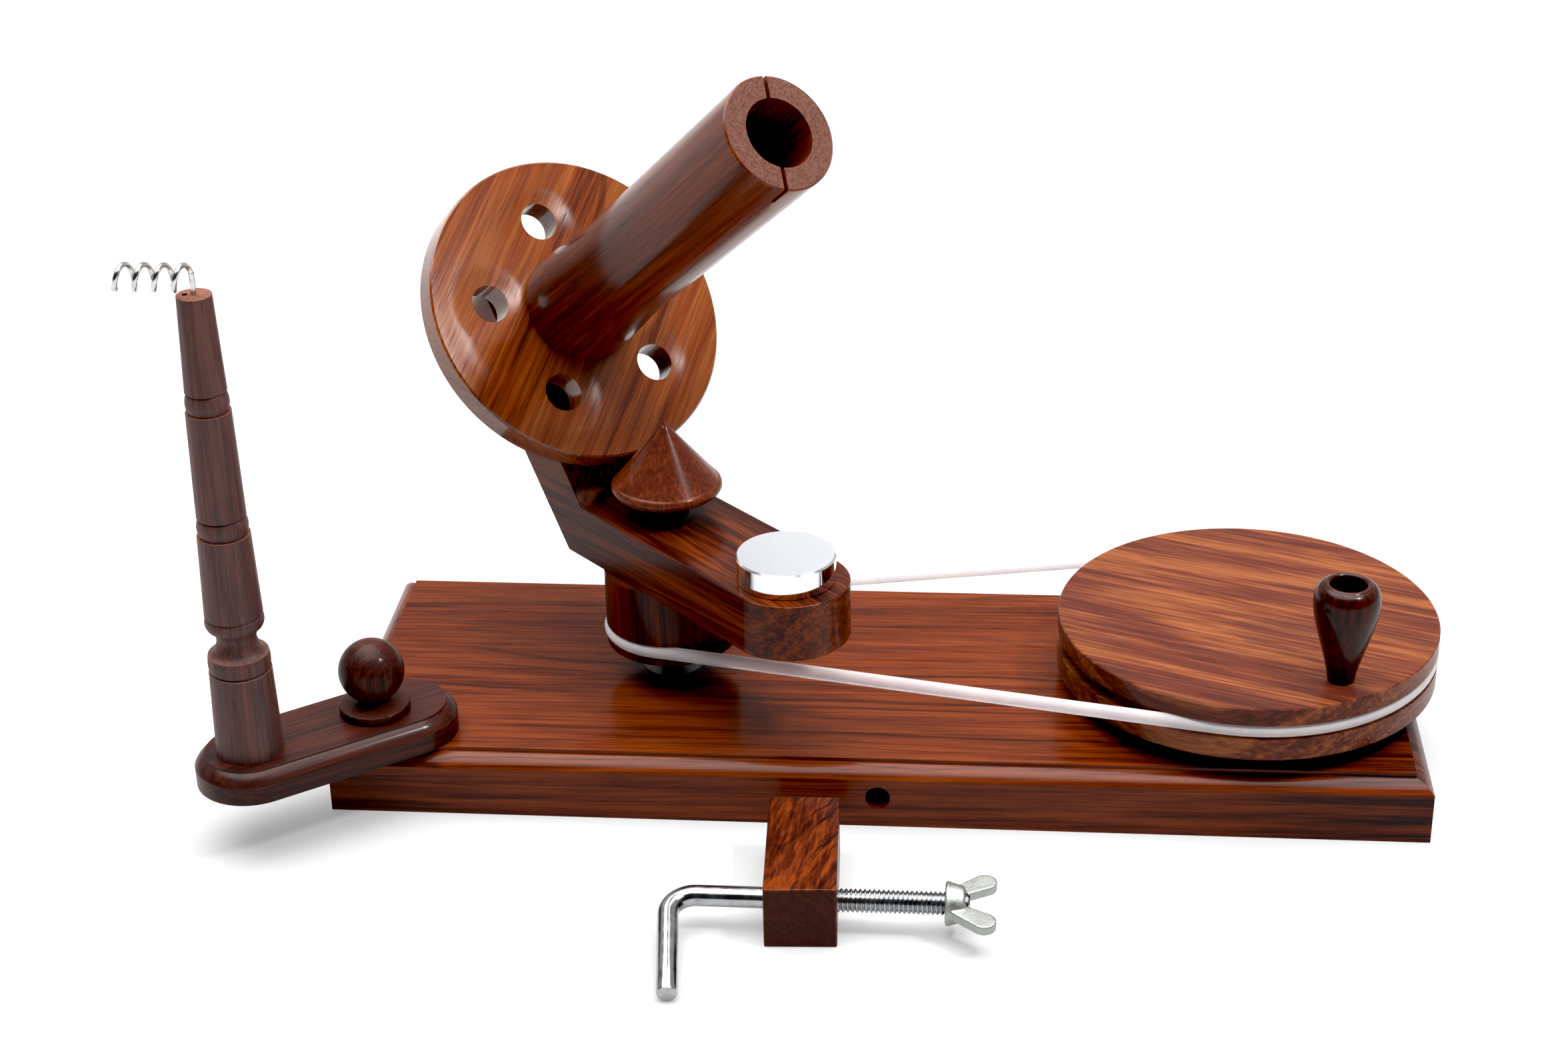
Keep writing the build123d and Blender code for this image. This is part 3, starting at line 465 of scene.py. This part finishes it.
def rod_line():
    """Stations along the rod's middle from its threaded end: place and direction, in mm."""
    middle = Vector(mounts["clamp_leg"]["pos_m"]) / MM
    leg = Vector(mounts["clamp_leg"]["axis"]).normalized()
    corner = middle + leg * ((nut_middle.y - middle.y) / leg.y)
    start = Vector((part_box("clamp_rod")[1].x / MM, corner.y, corner.z))
    turn = (-X).angle(leg)
    reach = ROD_BEND * sin(turn / 2) / cos(turn / 2)
    inward = (leg + X * leg.dot(-X)).normalized()
    hub = corner + X * reach + inward * ROD_BEND

    thread_end = start.x - THREAD_START
    steps = int(thread_end / THREAD_PITCH * STEPS_PER_TURN)
    stations = [(start - X * (thread_end * step / steps), -X) for step in range(steps + 1)]
    stations += [(Vector((THREAD_START - gap, start.y, start.z)), -X) for gap in (1.5, 12, 26)]
    for step in range(BEND_STEPS + 1):
        angle = turn * step / BEND_STEPS
        out = -inward * cos(angle) - X * sin(angle)
        stations.append((hub + out * ROD_BEND, -X * cos(angle) + inward * sin(angle)))
    leg_stations = (20, 34, LEG_LENGTH - 1.2, LEG_LENGTH - 0.3, LEG_LENGTH)
    stations += [(corner + leg * far, leg) for far in leg_stations]
    return stations


def clamp_rod():
    """Bright zinc rod: a rolled thread, a plain shank, a bend and a leg with an eased tip."""
    stations = rod_line()
    end = stations[0][0].x
    tip_ease = {len(stations) - 2: 0.35, len(stations) - 1: 1.1}
    rings = []
    for index, (place, direction) in enumerate(stations):
        side_way = UP.cross(direction).normalized()
        up_way = direction.cross(side_way)
        run = end - place.x
        threaded = min(max((end - THREAD_START - run) / 3, 0), 1)
        ring = []
        for side in range(ROD_SIDES):
            angle = tau * side / ROD_SIDES
            wave = 0.5 + 0.5 * cos(tau * run / THREAD_PITCH - angle)
            cut = THREAD_ROOT + (THREAD_CREST - THREAD_ROOT) * wave**0.8
            radius = ROD_RADIUS + (cut - ROD_RADIUS) * threaded
            radius = min(radius, THREAD_ROOT - 0.3 + run * 0.9) - tip_ease.get(index, 0)
            spoke = side_way * (radius * cos(angle)) + up_way * (radius * sin(angle))
            ring.append((place + spoke) * MM)
        rings.append(ring)
    work = bmesh.new()
    ring_skin(work, rings)
    zinc = metal("Bright_zinc", centre("clamp_rod"), X, ZINC, 0.13, cloud=0.1)
    rod = finish_mesh("Threaded_rod", work, zinc)
    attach(rod, "clamp_rod")
    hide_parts("clamp_rod")


def circle_ring(along, radius, sides):
    """A ring of points round the wing nut's axis, at a distance in mm from its face."""
    middle = Vector((nut_low.x + along, nut_middle.y, nut_middle.z))
    angles = [tau * side / sides for side in range(sides)]
    return [(middle + Vector((0, radius * cos(angle), radius * sin(angle)))) * MM for angle in angles]


def wing_nut():
    """Cast wing nut: a tapered hub and two swept wings, run together and tumbled smooth."""
    hub_profile = [(0, 6.9), (0.25, 7.4), (0.8, 7.7), (2.2, 7.3), (6.0, 6.2), (6.5, 5.9), (6.7, 5.4)]
    work = bmesh.new()
    ring_skin(work, [circle_ring(along, radius, 48) for along, radius in hub_profile])
    for side in (-1, 1):
        foot = Vector((nut_low.x + 3.3, nut_middle.y + side * 4.6, nut_middle.z))
        tip = Vector((nut_low.x + 13.3, nut_middle.y + side * 11.5, nut_middle.z))
        spine = (tip - foot).normalized()
        across = UP.cross(spine)
        outline = []
        for spot, radius, first in ((tip, WING_TIP, -90), (foot, WING_FOOT, 90)):
            for step in range(13):
                angle = radians(first + 15 * step)
                outline.append(spot + (spine * cos(angle) + across * sin(angle)) * radius)
        levels = (-WING_THICK / 2, WING_THICK / 2)
        ring_skin(work, [[(point + UP * level) * MM for point in outline] for level in levels])
    cast_zinc = metal("Cast_zinc", nut_middle * MM, X, CAST, 0.36, cloud=0.14, grit=0.12)
    casting = finish_mesh("Wing_nut", work, cast_zinc)
    bore = bmesh.new()
    ring_skin(bore, [circle_ring(along, NUT_BORE, 32) for along in (-3, 20)])
    drill = finish_mesh("Drill", bore, cast_zinc)
    remesh = casting.modifiers.new("Cast", "REMESH")
    remesh.mode = "VOXEL"
    remesh.voxel_size = CAST_GRAIN * MM
    tumble = casting.modifiers.new("Tumble", "SMOOTH")
    tumble.factor = 0.5
    tumble.iterations = 3
    hole = casting.modifiers.new("Bore", "BOOLEAN")
    hole.object = drill
    hole.operation = "DIFFERENCE"
    hole.solver = "EXACT"
    built = casting.evaluated_get(bpy.context.evaluated_depsgraph_get())
    shape = bpy.data.meshes.new_from_object(built)
    casting.modifiers.clear()
    casting.data = shape
    shape.shade_smooth()
    shape.set_sharp_from_angle(angle=radians(50))
    bpy.data.objects.remove(drill)
    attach(casting, "wing_nut")
    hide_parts("wing_nut")


clamp_rod()
wing_nut()


# ---- floor, light and camera ----------------------------------------------------------------------
def floor():
    """A plain pale sheet that the object stands on."""
    reach = 9
    work = bmesh.new()
    bmesh.ops.create_circle(work, cap_ends=True, segments=64, radius=reach)
    paper = Tree("Paper", Roughness=0.9, Specular_IOR_Level=0.1, Emission_Color=(1, 1, 1, 1),
                 Emission_Strength=0.32)
    grain = paper.noise(paper.place(Vector(), X, UP), 2.0, scale=0.02)
    tint = paper.mix(grain, (0.34, 0.34, 0.34), (0.36, 0.36, 0.36))
    paper.feed(paper.shader.inputs["Base Color"], tint)
    finish_mesh("Floor", work, paper.material)


def sky():
    """A light tent: bright overhead, dim behind, dark on the camera's side, white to look at."""
    roof_light = 7.5
    back_light = 0.6
    front_light = 0.03
    world = bpy.data.worlds.new("Tent")
    bpy.context.scene.world = world
    world.use_nodes = True
    tree = world.node_tree
    background = tree.nodes["Background"]
    background.inputs["Color"].default_value = (1, 1, 1, 1)

    def add(kind, inputs, output=0, **settings):
        node = tree.nodes.new("ShaderNode" + kind)
        for key, value in settings.items():
            setattr(node, key, value)
        for key, value in inputs.items():
            if isinstance(value, bpy.types.NodeSocket):
                tree.links.new(value, node.inputs[key])
            else:
                node.inputs[key].default_value = value
        return node.outputs[output]

    direction = tree.nodes.new("ShaderNodeTexCoord").outputs["Generated"]
    parts = tree.nodes.new("ShaderNodeSeparateXYZ")
    tree.links.new(direction, parts.inputs[0])
    sides = add("MapRange", {"Value": parts.outputs["Y"], "From Min": -0.5, "From Max": 0.6,
                             "To Min": front_light, "To Max": back_light},
                interpolation_type="SMOOTHSTEP")
    roof_middle = (-0.1, 0.1, 0.99)
    height = add("VectorMath", {0: direction, 1: roof_middle}, 1, operation="DOT_PRODUCT")
    roof = add("MapRange", {"Value": height, "From Min": 0.76, "From Max": 0.93, "To Min": 0.0,
                            "To Max": roof_light}, interpolation_type="SMOOTHSTEP")
    strength = add("Math", {0: sides, 1: roof}, operation="ADD")
    seen = tree.nodes.new("ShaderNodeLightPath").outputs["Is Camera Ray"]
    strength = add("Math", {0: strength, 1: seen}, operation="MAXIMUM")
    tree.links.new(strength, background.inputs["Strength"])


def softbox(name, target, direction, distance, size, power):
    """A soft square lamp, placed by its direction from what it lights."""
    lamp = bpy.data.lights.new(name, "AREA")
    lamp.size = size
    lamp.energy = power
    box = bpy.data.objects.new(name, lamp)
    bpy.context.collection.objects.link(box)
    box.location = target + direction.normalized() * distance
    box.rotation_euler = direction.to_track_quat("Z", "Y").to_euler()


floor()
sky()
# The lamp stands where only the flange's sanded rim and holes mirror it.
softbox("Key_right", flange_centre, Vector((0.605, -0.245, 0.758)), distance=1.3, size=0.18, power=11)

CAMERA_PLACE = Vector((0.0464, -0.8979, 0.5425))
AZIMUTH = radians(-5.27)
DROP = radians(26.77)
ROLL = radians(1.16)
LENS = 62.06
SENSOR_WIDTH = 36
BLACK_LEVEL = 0.01
camera = bpy.data.objects.new("Camera", bpy.data.cameras.new("Camera"))
bpy.context.collection.objects.link(camera)
bpy.context.scene.camera = camera
forward = Vector((sin(AZIMUTH) * cos(DROP), cos(AZIMUTH) * cos(DROP), -sin(DROP)))
level = forward.to_track_quat("-Z", "Y").to_matrix()
rolled = Matrix.Rotation(ROLL, 3, forward) @ level
camera.matrix_world = Matrix.Translation(CAMERA_PLACE) @ rolled.to_4x4()
camera.data.lens = LENS
camera.data.sensor_width = SENSOR_WIDTH

view = bpy.context.scene.view_settings
view.view_transform = "Standard"
view.look = "None"
view.use_curve_mapping = True
view.curve_mapping.black_level = (BLACK_LEVEL, BLACK_LEVEL, BLACK_LEVEL)
